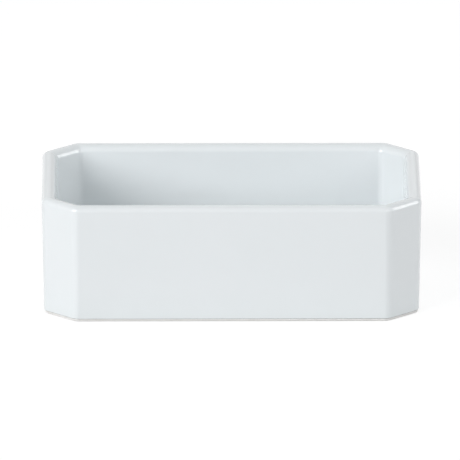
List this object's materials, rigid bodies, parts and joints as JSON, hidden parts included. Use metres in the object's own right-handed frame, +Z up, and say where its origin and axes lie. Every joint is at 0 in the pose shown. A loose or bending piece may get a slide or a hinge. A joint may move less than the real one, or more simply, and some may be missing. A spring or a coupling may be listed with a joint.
{
  "type": "sugar packet holder",
  "caption": "Low open trough of white glazed porcelain with 45 degree cut corners, a rounded rim and a recessed foot, sized to stand sugar packets on edge.",
  "frame": {"origin": "on the table, under the middle of the holder", "axes": "+X along the holder's length, +Y across its width towards the back, +Z up"},
  "size_m": [0.121, 0.074, 0.0383],
  "materials": {
    "biscuit": "matte, fine grained, unglazed",
    "glaze": "smooth clear white gloss"
  },
  "bodies": {
    "root": {"porcelain_body": "biscuit", "glaze_coat": "glaze", "base_glaze": "glaze"}
  },
  "joints": []
}
